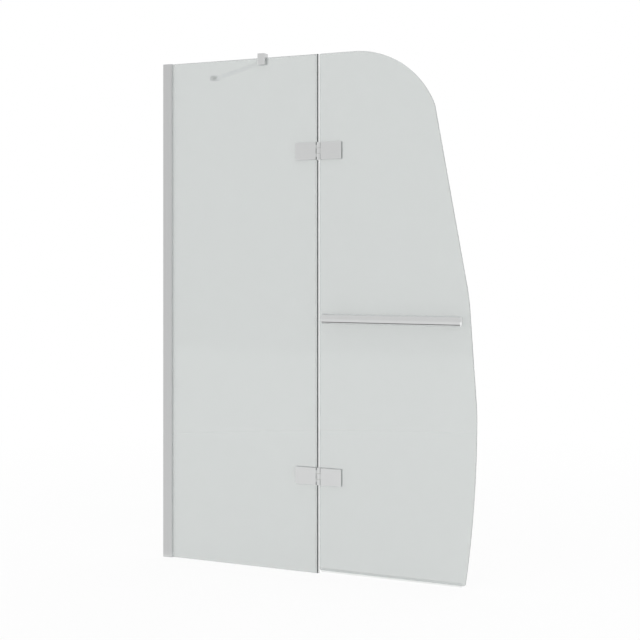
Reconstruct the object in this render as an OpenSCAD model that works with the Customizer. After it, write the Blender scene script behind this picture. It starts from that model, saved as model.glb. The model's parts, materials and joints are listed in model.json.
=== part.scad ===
// Folding bath screen: a fixed glass pane in an adjustable wall profile, a brace arm
// from its top edge to the wall, and a curved glass pane that folds on two hinges.
// X runs along the glass away from the wall, +Y towards the inside of the bath, +Z up.
// The origin is on the wall, in the glass's middle plane, at half the screen's height.

/* [Panes] */
// Height of the fixed pane and of its wall profile
screen_h = 1500; // [1400:10:1700]
// Reach of the screen from the wall to its widest point
screen_w = 1000; // [980:10:1150]
// Distance from the wall to the axis that the folding pane turns on
fold_x = 521; // [460:1:540]
// Thickness of both panes
glass_t = 6; // [5:1:8]
// How much farther than half a glass thickness each pane's edge stays from the fold axis
edge_setback = 0.75; // [0.7:0.05:2]
// Radius on the corners of the fixed pane
pane_corner_r = 3; // [1:0.5:6]
// Height of the folding pane's lowest point above the foot of the fixed pane
foot_clearance = 5; // [3:1:12]

/* [Curved edge of the folding pane] */
// Radius of the round top corner
crown_r = 260; // [160:10:280]
// Distance of the crown's control corner from the widest point
crown_inset = 198.5; // [190:0.5:205]
// Distance of the shoulder from the widest point
shoulder_inset = 123; // [115:1:135]
// Depth of the shoulder below the top edge
shoulder_drop = 161.5; // [155:0.5:190]
// Radius that rounds the shoulder
shoulder_r = 60; // [20:5:100]
// Distance of the waist from the widest point
waist_inset = 22.5; // [15:0.5:30]
// Depth of the waist below the top edge
waist_drop = 699; // [600:1:750]
// Radius that rounds the waist and the belly
waist_r = 600; // [300:50:900]
// Depth of the belly, the widest point, below the top edge
belly_drop = 1016; // [900:1:1050]
// Distance of the lower edge's control corner from the widest point
calf_inset = 2.5; // [1:0.5:6]
// Depth of the lower edge's control corner below the top edge
calf_drop = 1273; // [1200:1:1300]
// Radius of the long lower curve
calf_r = 3200; // [1500:100:4000]
// Distance of the foot corner from the widest point
foot_inset = 33.5; // [20:0.5:50]
// Radius on the small corners of the folding pane
folding_corner_r = 5; // [2:0.5:10]

/* [Wall profile] */
// Width of the visible profile, from the wall to its lip
profile_w = 30; // [29:1:40]
// Depth of the visible profile, across the glass
profile_d = 24; // [22:1:32]
// Wall thickness of the visible profile
profile_wall = 1.6; // [1.2:0.1:2]
// Radius on the two free corners of the visible profile
profile_corner_r = 5; // [3:0.5:6]
// Depth of the pocket that holds the glass
pocket_depth = 9.4; // [8:0.2:10.4]
// How much shorter the pocket's jaw is on the bath side than on the side that shows
jaw_setback = 5; // [0:0.5:5]
// How far the edge of the glass stays off the bottom of the pocket
pocket_floor_gap = 0.9; // [0.5:0.1:2]
// Thickness of each glazing gasket
gasket_t = 2; // [1.5:0.1:2.5]
// Wall thickness of the hidden wall channel
channel_wall = 1.5; // [1.2:0.1:2]
// Sliding gap between the channel and the profile
slide_gap = 0.5; // [0.3:0.1:0.8]
// Travel of the profile on the channel
profile_travel = 8; // [4:1:8]
// Thickness of the end caps
cap_t = 1.5; // [1:0.5:3]
// Radius of the holes for the wall screws
wall_screw_r = 2.75; // [2:0.25:3.25]
// Distance between the outer two wall screws
outer_screw_span = 1300; // [1100:10:1350]
// Distance between the inner two wall screws
inner_screw_span = 440; // [300:10:600]
// Distance between neighbouring lock screws
lock_screw_pitch = 560; // [400:10:600]
// Radius of the lock screws
lock_screw_r = 2; // [1.5:0.25:2.25]

/* [Hinges] */
// Distance from the ends of the fixed pane to the middle of each hinge
hinge_inset = 280; // [200:5:350]
// Height of a hinge
hinge_h = 50; // [46:1:70]
// Length of one hinge plate
plate_l = 66; // [60:1:80]
// Thickness of a hinge plate
plate_t = 5; // [4:0.5:5]
// Thickness of the gasket between a plate and the glass
hinge_gasket_t = 1; // [0.5:0.25:1.5]
// Radius of the knuckles
knuckle_r = 7; // [6:0.5:7.5]
// Gap between the plates and the knuckles
knuckle_gap = 0.4; // [0.3:0.1:1]
// Height of the middle knuckle
middle_knuckle_h = 16; // [14:1:18]
// Radius of the hinge pin
pin_r = 3; // [2.5:0.25:3.5]
// Length of the cut-out in the glass, from the axis
notch_l = 44; // [40:1:50]
// Height of the cut-out in the glass
notch_h = 38; // [36:1:42]
// Distance of the clamping screws from the axis
hinge_screw_x = 30; // [22:1:34]
// Distance between the two clamping screws of a leaf
hinge_screw_pitch = 18; // [14:1:22]
// Radius of the clamping screws
hinge_screw_r = 3; // [2:0.25:3]

/* [Seals] */
// Height of the glass that the seam seal and the drip seal grip
seal_grip = 7; // [5:0.5:12]
// Thickness of the seals' legs
seal_leg_t = 1; // [0.8:0.1:1.2]
// Space between a seal and what moves past it
seal_gap = 0.35; // [0.3:0.05:0.5]
// Depth of the drip seal's lips below the glass
drip_lip_h = 5; // [4:0.5:8]

/* [Towel rail] */
// Depth of the rail's axis below the top edge
rail_drop = 763; // [720:1:900]
// Radius of the rail
rail_r = 15; // [10:0.5:18]
// Wall thickness of the rail's tube
rail_wall = 1.2; // [1:0.1:2]
// Distance of the rail's axis from the middle of the glass
rail_offset = 30; // [26:1:60]
// Distance from the pane's hinged edge to the end of the rail
rail_start_inset = 22; // [15:1:60]
// Distance from the end of the rail to the pane's free edge
rail_end_inset = 13.5; // [10:0.5:60]
// Distance from each end of the rail to its post
post_inset = 60; // [40:1:100]
// Radius of a post
post_r = 8; // [6:0.5:9]
// Radius of the rail's bolts
rail_bolt_r = 3; // [2:0.25:3]

/* [Brace arm] */
// Distance from the wall to the middle of the glass clamp
clamp_x = 337; // [300:1:400]
// Width of the clamp block along the glass
clamp_w = 24; // [20:1:30]
// Depth of the clamp block across the glass
clamp_d = 24; // [22:1:30]
// Height of the clamp block above the glass
clamp_rise = 12.5; // [8:0.5:16]
// Height of the clamp block below the top edge of the glass
clamp_grip = 20.5; // [18:0.5:30]
// Thickness of the clamp's liner
liner_t = 1; // [0.5:0.25:1.5]
// Depth of the arm's axis below the top edge of the glass
arm_drop = 6.5; // [6.5:0.5:9]
// Distance from the glass to the wall foot, along the wall
arm_foot_y = 287; // [240:1:340]
// Radius of the arm
arm_r = 7; // [6:0.5:7]
// Wall thickness of the arm's tube
arm_wall = 1.5; // [1:0.1:2]
// Radius of the arm's pivot pins
arm_pin_r = 2.5; // [2:0.25:3]
// Width of the wall foot, along the wall
foot_w = 24; // [20:1:30]
// Height of the wall foot and of both forks
foot_h = 16; // [16:1:20]
// Depth of the wall foot behind its fork
foot_base = 10; // [9:0.5:16]
// Radius of the bore for the wall stud
stud_bore_r = 4.1; // [3:0.1:4.5]
// Depth of the bore for the wall stud
stud_bore_l = 8; // [6:0.5:8]

/* [Hidden] */
$fn = 48;

glass_color = [0.82, 0.84, 0.83, 0.6];
aluminium_color = [0.75, 0.76, 0.76];
bright_color = [0.93, 0.94, 0.94];
chrome_color = [0.82, 0.83, 0.84];
steel_color = [0.66, 0.67, 0.68];
brass_color = [0.72, 0.65, 0.45];
clear_seal_color = [0.86, 0.88, 0.88];
pale_seal_color = [0.8, 0.82, 0.82];
grey_seal_color = [0.45, 0.46, 0.47];
plastic_color = [0.78, 0.79, 0.8];

// A cut runs this far past the faces it opens
past = 1;
// Free space around small fixed pieces that slip over one another
slip = 0.1;
// Radial clearance of a turning pin
running = 0.05;

top_z = screen_h / 2;
half_t = glass_t / 2;

// Wall profile: the visible extrusion slides on the channel and carries the glass
wall_gap = 0.5;
profile_half_d = profile_d / 2;
pocket_x = profile_w - pocket_depth;
pocket_half_w = half_t + gasket_t;
back_jaw_x = profile_w - jaw_setback;
profile_web_x = pocket_x - profile_wall;
profile_top = top_z - cap_t;
channel_half_d = profile_half_d - profile_wall - slide_gap;
channel_reach = profile_web_x - slide_gap;
channel_top = profile_top - slide_gap;
fixed_glass_x = pocket_x + pocket_floor_gap;
gasket_lip = 1.2;
cap_leg_l = 10;
screw_spans = [outer_screw_span, inner_screw_span];
lock_screw_zs = [-lock_screw_pitch, 0, lock_screw_pitch];

// Lock screws: each clamps a nut plate through a slot as long as the travel
lock_slot_r = lock_screw_r + 2 * slip;
lock_head_r = 2 * lock_screw_r;
lock_head_t = 2.4;
lock_recess_w = 1;
lock_recess_d = 1.2;
nut_plate_t = 3;
nut_plate_h = 14;
cover_wall = 0.8;
cover_round = 1;
cover_r = lock_head_r + slip + cover_wall;
cover_h = lock_head_t + slip + cover_round + cover_wall;
lock_x = wall_gap + cover_r + slip;

// Hinges, drawn about their own axis with the fixed leaf on the -X side
edge_x = half_t + edge_setback;
plate_x = knuckle_r + knuckle_gap;
plate_y = half_t + hinge_gasket_t;
plate_round = 1.5;
plate_corner_r = 2;
plate_bevel = 3;
gasket_inset = 0.5;
notch_mouth_x = knuckle_r + 1;
notch_mouth_h = hinge_h + 1;
notch_r = 6;
leaf_clear = 1.5;
leaf_x = notch_l - leaf_clear;
leaf_half_h = notch_h / 2 - leaf_clear;
leaf_corner_r = notch_r - leaf_clear;
leaf_arm_x = 2 * notch_mouth_x;
bush_wall = 1.5;
bush_flange_t = 0.8;
bush_flange_r = knuckle_r - 0.5;
bush_play = 0.2;
outer_knuckle_z = middle_knuckle_h / 2 + bush_flange_t + bush_play;
upper_hinge_z = top_z - hinge_inset;
lower_hinge_z = -upper_hinge_z;
hinge_pin_recess = 0.5;
hinge_head_r = hinge_screw_r + 2.5;
hinge_head_t = 3;
hinge_head_sink = 0.2;
hinge_key_d = 2.2;
hinge_key_r = hinge_screw_r - 0.6;
hinge_thread_l = plate_t - 1.5;

// Seals
seal_leg_y = half_t + seal_leg_t;
seal_end_gap = 1;
seal_hinge_clear = hinge_h / 2 + seal_end_gap;
seal_web_x = half_t + 0.3;
drip_floor_z = -top_z + foot_clearance + drip_lip_h - seal_leg_t;
drip_fin_t = 1;
drip_vane_t = 1.2;

// Folding pane: control corners of its outline, from the seam's top corner clockwise
belly_overshoot = 0.2;
folding_x = fold_x + edge_x;
foot_z = -top_z + foot_clearance + drip_lip_h;
crown = [screen_w - crown_inset, top_z];
shoulder = [screen_w - shoulder_inset, top_z - shoulder_drop];
waist = [screen_w - waist_inset, top_z - waist_drop];
belly = [screen_w + belly_overshoot, top_z - belly_drop];
foot = [screen_w - foot_inset, foot_z];
calf = [screen_w - calf_inset, top_z - calf_drop];
outline_corners = [
    [[folding_x, top_z], folding_corner_r],
    [crown, crown_r],
    [shoulder, shoulder_r],
    [waist, waist_r],
    [belly, waist_r],
    [calf, calf_r],
    [foot, folding_corner_r],
    [[folding_x, foot_z], folding_corner_r]
];
// The outline's arcs are drawn in steps that stay this close to the true arc
arc_tolerance = 0.05;

// Towel rail
rail_z = top_z - rail_drop;
edge_slope = (belly[0] - waist[0]) / (waist[1] - belly[1]);
rail_x0 = folding_x + rail_start_inset;
rail_x1 = waist[0] + (waist[1] - rail_z) * edge_slope - rail_end_inset;
rail_cap_t = 3;
rail_plug_l = 12;
rail_plug_r = rail_r - rail_wall - slip;
rail_dome_r = 3 * rail_r;
rail_tube_x0 = rail_x0 + rail_cap_t;
rail_tube_x1 = rail_x1 - rail_cap_t;
post_xs = [rail_x0 + post_inset, rail_x1 - post_inset];
washer_t = 1;
washer_r = post_r + 1;
washer_hub_r = 5;
glass_hole_r = washer_hub_r + slip;
post_y = half_t + washer_t;
post_spigot_r = 4;
post_spigot_l = 5;
rail_thread_l = rail_offset - rail_r - post_y + rail_wall;
back_cap_r = post_r + 2;
back_cap_t = 6;
back_cap_bevel = 1.5;
rail_bolt_head_r = rail_bolt_r + 2;
rail_bolt_head_t = 3.2;
rail_bolt_sink = 0.3;
rail_key_d = 2.5;
rail_key_r = rail_bolt_r - 0.5;

// Brace arm
arm_z = top_z - arm_drop;
clamp_half_d = clamp_d / 2;
fork_half_h = foot_h / 2;
fork_r = arm_r + 1;
eye_half_t = 3;
arm_washer_t = 0.5;
arm_washer_r = arm_r - 1;
fork_slot = 2 * (eye_half_t + arm_washer_t + 2 * running);
fork_disc_t = 2;
fork_spigot_r = 4;
fork_root = fork_r + 1;
glass_pivot = [clamp_x, clamp_half_d + fork_disc_t + fork_root];
wall_pivot = [foot_base + arm_r + slip, arm_foot_y];
arm_vector = wall_pivot - glass_pivot;
arm_l = norm(arm_vector);
arm_angle = atan2(arm_vector[1], arm_vector[0]);
collar_x = fork_r + 2;
collar_l = 4;
spigot_l = 20;
pad_t = 1.5;
clamp_slot_y = half_t + liner_t;
clamp_corner_r = 2;
clamp_rim_r = 1.5;
liner_inset = 0.5;
foot_corner_r = 2;
grub_r = 2;
grub_key_d = 2;
grub_key_r = 1;
pin_recess = 0.3;

// ---------------------------------------------------------------- helpers

// Turns a drawing of X and Z upright and gives it thickness t, half on each side of Y = 0
module upright(t) {
    rotate([90, 0, 0])
        linear_extrude(t, center = true)
            children();
}

// Extrudes a drawing of X and Y from z0 to z1
module column(z0, z1) {
    translate([0, 0, z0])
        linear_extrude(z1 - z0)
            children();
}

// A cylinder along +Y from y0 to y1
module rod_y(r, y0, y1) {
    translate([0, y0, 0])
        rotate([-90, 0, 0])
            cylinder(h = y1 - y0, r = r);
}

// A cylinder along +Z from z0 to z1
module rod_z(r, z0, z1) {
    translate([0, 0, z0])
        cylinder(h = z1 - z0, r = r);
}

// A cylinder along +X from x0 to x1
module rod_x(r, x0, x1) {
    translate([x0, 0, 0])
        rotate([0, 90, 0])
            cylinder(h = x1 - x0, r = r);
}

// A rectangle from low corner p to high corner q
module rect(p, q) {
    translate(p)
        square(q - p);
}

// A rectangle with true arcs in its corners
module round_rect(p, q, r) {
    rect([p[0] + r, p[1]], [q[0] - r, q[1]]);
    rect([p[0], p[1] + r], [q[0], q[1] - r]);
    for (x = [p[0] + r, q[0] - r], y = [p[1] + r, q[1] - r])
        translate([x, y])
            circle(r);
}

// Copies its children to both sides of the glass's middle plane
module both_faces() {
    children();
    mirror([0, 1, 0])
        children();
}

function unit(v) = v / norm(v);
function cross2(u, v) = u[0] * v[1] - u[1] * v[0];

// The corners of an outline are [point, radius] pairs; indices wrap round its ends
function corner(corners, i) = corners[(i + len(corners)) % len(corners)];

// Directions from corner i to its neighbours, and half the angle between them
function to_last(corners, i) = unit(corner(corners, i - 1)[0] - corner(corners, i)[0]);
function to_next(corners, i) = unit(corner(corners, i + 1)[0] - corner(corners, i)[0]);
function half_angle(corners, i) = acos(to_last(corners, i) * to_next(corners, i)) / 2;

// Length that the arc of corner i takes from each of its sides
function arc_reach(corners, i) = corner(corners, i)[1] / tan(half_angle(corners, i));

// Share of the arcs at both ends of the side after corner i that the side has room for
function side_room(corners, i) =
    min(
        1,
        norm(corner(corners, i + 1)[0] - corner(corners, i)[0])
            / (arc_reach(corners, i) + arc_reach(corners, i + 1))
    );

// Points of the arc that rounds corner i
function corner_arc(corners, i) =
    let (
        u = to_last(corners, i),
        v = to_next(corners, i),
        half = half_angle(corners, i),
        radius = corner(corners, i)[1] * min(side_room(corners, i - 1), side_room(corners, i)),
        centre = corner(corners, i)[0] + unit(u + v) * radius / sin(half),
        start = corner(corners, i)[0] + u * radius / tan(half) - centre,
        first = atan2(start[1], start[0]),
        sweep = (180 - 2 * half) * sign(cross2(-u, v)),
        steps = ceil(abs(sweep) / (2 * acos(1 - arc_tolerance / radius)))
    )
    [
        for (step = [0 : steps])
            let (angle = first + sweep * step / steps)
            centre + radius * [cos(angle), sin(angle)]
    ];

// A closed outline with every control corner rounded by its own radius
function rounded_outline(corners) = [for (i = [0 : len(corners) - 1]) each corner_arc(corners, i)];

// ---------------------------------------------------------------- wall profile

// Section of the channel that is screwed to the wall
module channel_section() {
    rect([0, -channel_half_d], [channel_wall, channel_half_d]);
    for (y = [-channel_half_d, channel_half_d - channel_wall])
        rect([0, y], [channel_reach, y + channel_wall]);
}

module wall_channel() {
    color(aluminium_color)
        difference() {
            column(-channel_top, channel_top)
                channel_section();
            for (span = screw_spans, side = [-1, 1])
                translate([0, 0, side * span / 2])
                    rod_x(wall_screw_r, -past, channel_wall + past);
            // slots that let the lock screws travel with the profile
            for (z = lock_screw_zs)
                translate([0, 0, z]) {
                    for (x = [lock_x, lock_x + profile_travel])
                        translate([x, 0, 0])
                            rod_y(lock_slot_r, channel_half_d - channel_wall - past, channel_half_d + past);
                    translate([lock_x, channel_half_d - channel_wall - past, -lock_slot_r])
                        cube([profile_travel, channel_wall + 2 * past, 2 * lock_slot_r]);
                }
        }
}

// Outline of the visible extrusion, square at the wall and round at its free corners, with a
// shorter jaw at the back; inset moves its three free sides in
module profile_outline(inset = 0) {
    front_x = profile_w - inset;
    back_x = back_jaw_x - inset;
    y1 = profile_half_d - inset;
    r = profile_corner_r - inset;
    rect([wall_gap, -y1], [back_x - r, y1]);
    rect([wall_gap, -y1 + r], [back_x, y1 - r]);
    rect([wall_gap, -y1], [front_x - r, 0]);
    rect([wall_gap, -y1 + r], [front_x, 0]);
    for (centre = [[front_x - r, -y1 + r], [back_x - r, y1 - r]])
        translate(centre)
            circle(r);
}

// Room on both sides of the glass pocket, from x0 out and from y0 away from the glass
module beside_pocket(x0, y0) {
    for (y = [-profile_half_d, y0])
        rect([x0, y], [profile_w, y + profile_half_d - y0]);
}

// Section of the visible extrusion: a bay for the channel, a pocket for the glass and a
// hollow chamber on each side of the pocket
module profile_section() {
    bay_half_d = profile_half_d - profile_wall;
    difference() {
        profile_outline();
        rect([wall_gap - past, -bay_half_d], [profile_web_x, bay_half_d]);
        rect([pocket_x, -pocket_half_w], [profile_w + past, pocket_half_w]);
        intersection() {
            profile_outline(profile_wall);
            beside_pocket(pocket_x, pocket_half_w + profile_wall);
        }
    }
}

module glass_profile() {
    color(aluminium_color)
        difference() {
            column(-profile_top, profile_top)
                profile_section();
            for (z = lock_screw_zs)
                translate([lock_x, 0, z])
                    rod_y(lock_screw_r + slip, channel_half_d, profile_half_d + past);
        }
}

// Plate over the end of the profile, with a leg in each of its two chambers
module profile_cap() {
    column(profile_top, top_z)
        difference() {
            profile_outline();
            rect([pocket_x, -pocket_half_w], [profile_w + past, pocket_half_w]);
        }
    column(profile_top - cap_leg_l, profile_top)
        intersection() {
            profile_outline(profile_wall + slip);
            beside_pocket(pocket_x + slip, pocket_half_w + profile_wall + slip);
        }
}

module profile_top_cap() {
    color(plastic_color)
        profile_cap();
}

module profile_bottom_cap() {
    color(plastic_color)
        mirror([0, 0, 1])
            profile_cap();
}

// Wedge gasket between the glass and a jaw of the pocket, with a lip over the jaw's edge
module glazing_gasket(jaw_x) {
    column(-top_z, top_z)
        union() {
            rect([pocket_x + slip, half_t], [jaw_x, pocket_half_w]);
            rect([jaw_x, half_t], [jaw_x + gasket_lip, pocket_half_w + gasket_lip]);
        }
}

module back_glazing_gasket() {
    color(pale_seal_color)
        glazing_gasket(back_jaw_x);
}

module front_glazing_gasket() {
    color(pale_seal_color)
        mirror([0, 1, 0])
            glazing_gasket(profile_w);
}

module profile_lock_screws() {
    tip_y = channel_half_d - channel_wall - slip - nut_plate_t;
    color(steel_color)
        for (z = lock_screw_zs)
            translate([lock_x, 0, z])
                difference() {
                    union() {
                        rod_y(lock_screw_r, tip_y, profile_half_d + slip);
                        rod_y(lock_head_r, profile_half_d, profile_half_d + lock_head_t);
                    }
                    translate([0, profile_half_d + lock_head_t - lock_recess_d, 0])
                        for (turn = [0, 90])
                            rotate([0, turn, 0])
                                translate([-lock_recess_w / 2, 0, -lock_screw_r])
                                    cube([lock_recess_w, lock_recess_d + past, 2 * lock_screw_r]);
                }
}

module profile_lock_nuts() {
    plate_y1 = channel_half_d - channel_wall - slip;
    plate_half_w = lock_x - channel_wall - slip;
    color(steel_color)
        for (z = lock_screw_zs)
            translate([lock_x, 0, z])
                difference() {
                    translate([-plate_half_w, plate_y1 - nut_plate_t, -nut_plate_h / 2])
                        cube([2 * plate_half_w, nut_plate_t, nut_plate_h]);
                    rod_y(lock_screw_r, plate_y1 - nut_plate_t - past, plate_y1 + past);
                }
}

module profile_screw_covers() {
    color(plastic_color)
        for (z = lock_screw_zs)
            translate([lock_x, profile_half_d, z])
                rotate([-90, 0, 0])
                    rotate_extrude()
                        difference() {
                            union() {
                                rect([0, 0], [cover_r, cover_h - cover_round]);
                                rect([0, 0], [cover_r - cover_round, cover_h]);
                                translate([cover_r - cover_round, cover_h - cover_round])
                                    intersection() {
                                        circle(cover_round);
                                        square(cover_round);
                                    }
                            }
                            rect([0, -past], [lock_head_r + slip, lock_head_t + slip]);
                        }
}

// ---------------------------------------------------------------- panes

// Cut-outs at both hinges, drawn for both panes at once
module hinge_cutouts() {
    for (z = [lower_hinge_z, upper_hinge_z])
        translate([fold_x, z]) {
            rect([-notch_mouth_x, -notch_mouth_h / 2], [notch_mouth_x, notch_mouth_h / 2]);
            round_rect([-notch_l, -notch_h / 2], [notch_l, notch_h / 2], notch_r);
        }
}

module fixed_glass() {
    color(glass_color)
        upright(glass_t)
            difference() {
                round_rect([fixed_glass_x, -top_z], [fold_x - edge_x, top_z], pane_corner_r);
                hinge_cutouts();
            }
}

module folding_glass() {
    color(glass_color)
        difference() {
            upright(glass_t)
                difference() {
                    polygon(rounded_outline(outline_corners));
                    hinge_cutouts();
                }
            for (x = post_xs)
                translate([x, 0, rail_z])
                    rod_y(glass_hole_r, -half_t - past, half_t + past);
        }
}

// ---------------------------------------------------------------- seals

// Seam seal from z0 to z1: a clip on the fixed pane's edge with a round bulb on the axis
module seam_seal(z0, z1) {
    color(grey_seal_color)
        translate([fold_x, 0, 0])
            column(z0, z1) {
                for (y = [-seal_leg_y, half_t])
                    rect([-edge_x - seal_grip, y], [-seal_web_x, y + seal_leg_t]);
                rect([-edge_x, -seal_leg_y], [-seal_web_x, seal_leg_y]);
                circle(edge_x - seal_gap);
            }
}

module seam_seal_top() {
    seam_seal(upper_hinge_z + seal_hinge_clear, top_z);
}

module seam_seal_middle() {
    seam_seal(lower_hinge_z + seal_hinge_clear, upper_hinge_z - seal_hinge_clear);
}

module seam_seal_bottom() {
    seam_seal(-top_z, lower_hinge_z - seal_hinge_clear);
}

// Section of the drip seal: a clip with an upright fin and a vane that leans to the bath
module drip_section() {
    lip_z = foot_z - drip_lip_h;
    rect([-seal_leg_y, drip_floor_z], [seal_leg_y, foot_z]);
    for (y = [-seal_leg_y, half_t])
        rect([y, drip_floor_z], [y + seal_leg_t, foot_z + seal_grip]);
    rect([-half_t, lip_z], [-half_t + drip_fin_t, foot_z]);
    polygon([
        [0, foot_z],
        [seal_leg_y, lip_z],
        [seal_leg_y + drip_vane_t, lip_z],
        [drip_vane_t, foot_z]
    ]);
}

module drip_seal() {
    x0 = folding_x + folding_corner_r;
    x1 = foot[0] - 2 * folding_corner_r;
    color(clear_seal_color)
        translate([x0, 0, 0])
            rotate([90, 0, 90])
                linear_extrude(x1 - x0)
                    drip_section();
}

// ---------------------------------------------------------------- hinges

// Puts a hinge piece on the fold axis at height z, and turns it to the folding side if asked
module hinge_place(z, folding = false) {
    translate([fold_x, 0, z])
        mirror([folding ? 0 : 1, 0, 0])
            children();
}

// Plate on one face of the glass, its outer edges rounded and its knuckle edge bevelled
module hinge_plate_solid() {
    x1 = plate_x + plate_l;
    y1 = plate_y + plate_t;
    intersection() {
        column(-hinge_h / 2, hinge_h / 2)
            polygon([
                [plate_x, plate_y],
                [x1, plate_y],
                [x1, y1 - plate_round],
                [x1 - plate_round, y1],
                [plate_x + plate_bevel, y1],
                [plate_x, y1 - plate_bevel]
            ]);
        translate([0, plate_y, 0])
            rotate([-90, 0, 0])
                linear_extrude(plate_t)
                    round_rect([plate_x, -hinge_h / 2], [x1, hinge_h / 2], plate_corner_r);
        translate([plate_x, 0, 0])
            rotate([90, 0, 90])
                linear_extrude(plate_l)
                    round_rect(
                        [plate_y - 2 * plate_round, -hinge_h / 2],
                        [y1, hinge_h / 2],
                        plate_round
                    );
    }
}

module at_hinge_screws() {
    for (side = [-1, 1])
        translate([hinge_screw_x, 0, side * hinge_screw_pitch / 2])
            children();
}

// The back plate takes the screws' sunk heads
module hinge_back_plate(z, folding) {
    color(chrome_color)
        hinge_place(z, folding)
            difference() {
                hinge_plate_solid();
                at_hinge_screws() {
                    rod_y(hinge_screw_r + slip, plate_y - past, plate_y + plate_t + past);
                    rod_y(hinge_head_r + slip, plate_y + plate_t - hinge_head_t, plate_y + plate_t + past);
                }
            }
}

// The front plate is threaded from behind and plain in front
module hinge_front_plate(z, folding) {
    color(chrome_color)
        hinge_place(z, folding)
            mirror([0, 1, 0])
                difference() {
                    hinge_plate_solid();
                    at_hinge_screws()
                        rod_y(hinge_screw_r, plate_y - past, plate_y + hinge_thread_l);
                }
}

module hinge_gaskets(z, folding) {
    half_h = hinge_h / 2 - gasket_inset;
    color(grey_seal_color)
        hinge_place(z, folding)
            both_faces()
                translate([0, half_t + hinge_gasket_t / 2, 0])
                    upright(hinge_gasket_t)
                        difference() {
                            rect(
                                [notch_mouth_x, -half_h],
                                [plate_x + plate_l - gasket_inset, half_h]
                            );
                            round_rect([-notch_l, -notch_h / 2], [notch_l, notch_h / 2], notch_r);
                        }
}

module hinge_screws(z, folding) {
    head_y = plate_y + plate_t - hinge_head_t;
    top_y = plate_y + plate_t - hinge_head_sink;
    color(steel_color)
        hinge_place(z, folding)
            at_hinge_screws()
                difference() {
                    union() {
                        rod_y(hinge_screw_r, -plate_y - hinge_thread_l + slip, head_y + slip);
                        rod_y(hinge_head_r, head_y, top_y);
                    }
                    translate([0, top_y - hinge_key_d, 0])
                        rotate([-90, 0, 0])
                            cylinder(h = hinge_key_d + past, r = hinge_key_r, $fn = 6);
                }
}

// Body of a leaf in the glass's cut-out, drilled for its screws
module leaf_tongue() {
    difference() {
        upright(2 * plate_y)
            round_rect([notch_mouth_x, -leaf_half_h], [leaf_x, leaf_half_h], leaf_corner_r);
        at_hinge_screws()
            rod_y(hinge_screw_r + slip, -plate_y - past, plate_y + past);
    }
}

// The fixed leaf carries the upper and lower knuckles and holds the pin fast
module hinge_fixed_leaf(z) {
    color(brass_color)
        hinge_place(z)
            difference() {
                union() {
                    leaf_tongue();
                    for (side = [-1, 1])
                        mirror([0, 0, side > 0 ? 0 : 1]) {
                            rod_z(knuckle_r, outer_knuckle_z, hinge_h / 2);
                            translate([0, -plate_y, outer_knuckle_z])
                                cube([leaf_arm_x, 2 * plate_y, leaf_half_h - outer_knuckle_z]);
                        }
                }
                rod_z(pin_r, -hinge_h / 2 - past, hinge_h / 2 + past);
                // room for the folding leaf's middle knuckle to turn
                rod_z(notch_mouth_x, -outer_knuckle_z, outer_knuckle_z);
            }
}

// The moving leaf carries the middle knuckle and its two bushes
module hinge_moving_leaf(z) {
    half_h = middle_knuckle_h / 2;
    color(brass_color)
        hinge_place(z, true)
            difference() {
                union() {
                    leaf_tongue();
                    rod_z(knuckle_r, -half_h, half_h);
                    translate([0, -plate_y, -half_h])
                        cube([leaf_arm_x, 2 * plate_y, middle_knuckle_h]);
                }
                rod_z(pin_r + bush_wall, -half_h - past, half_h + past);
                for (side = [-1, 1])
                    mirror([0, 0, side > 0 ? 0 : 1])
                        rod_z(notch_mouth_x, half_h, hinge_h / 2);
            }
}

module hinge_pin(z) {
    half_l = hinge_h / 2 - hinge_pin_recess;
    color(steel_color)
        hinge_place(z)
            rod_z(pin_r, -half_l, half_l);
}

module hinge_bushes(z) {
    half_h = middle_knuckle_h / 2;
    color(plastic_color)
        hinge_place(z, true)
            for (side = [-1, 1])
                mirror([0, 0, side > 0 ? 0 : 1])
                    difference() {
                        union() {
                            rod_z(pin_r + bush_wall, slip, half_h);
                            rod_z(bush_flange_r, half_h, half_h + bush_flange_t);
                        }
                        rod_z(pin_r + running, -past, half_h + bush_flange_t + past);
                    }
}

// ---------------------------------------------------------------- towel rail

module rail_tube() {
    color(chrome_color)
        difference() {
            translate([0, -rail_offset, rail_z])
                difference() {
                    rod_x(rail_r, rail_tube_x0, rail_tube_x1);
                    rod_x(rail_r - rail_wall, rail_tube_x0 - past, rail_tube_x1 + past);
                }
            for (x = post_xs)
                translate([x, 0, rail_z])
                    rod_y(post_spigot_r + slip, -rail_offset, 0);
        }
}

// Turned plug with a softly domed face
module rail_cap_solid() {
    rotate([0, -90, 0]) {
        intersection() {
            rod_z(rail_r, 0, rail_cap_t);
            translate([0, 0, rail_cap_t - rail_dome_r])
                sphere(rail_dome_r, $fn = 96);
        }
        rod_z(rail_plug_r, -rail_plug_l, slip);
    }
}

module rail_end_caps() {
    color(chrome_color)
        translate([0, -rail_offset, rail_z]) {
            translate([rail_tube_x0, 0, 0])
                rail_cap_solid();
            translate([rail_tube_x1, 0, 0])
                mirror([1, 0, 0])
                    rail_cap_solid();
        }
}

// Each post is saddled to the tube, with a threaded spigot through the tube's wall
module rail_posts() {
    spigot_y = -rail_offset + rail_r - rail_wall - post_spigot_l;
    color(chrome_color)
        for (x = post_xs)
            translate([x, 0, rail_z])
                difference() {
                    union() {
                        difference() {
                            rod_y(post_r, -rail_offset, -post_y);
                            translate([0, -rail_offset, 0])
                                rod_x(rail_r + slip, -2 * post_r, 2 * post_r);
                        }
                        rod_y(post_spigot_r, spigot_y, -post_y);
                    }
                    rod_y(rail_bolt_r, spigot_y - past, -post_y + past);
                }
}

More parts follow.
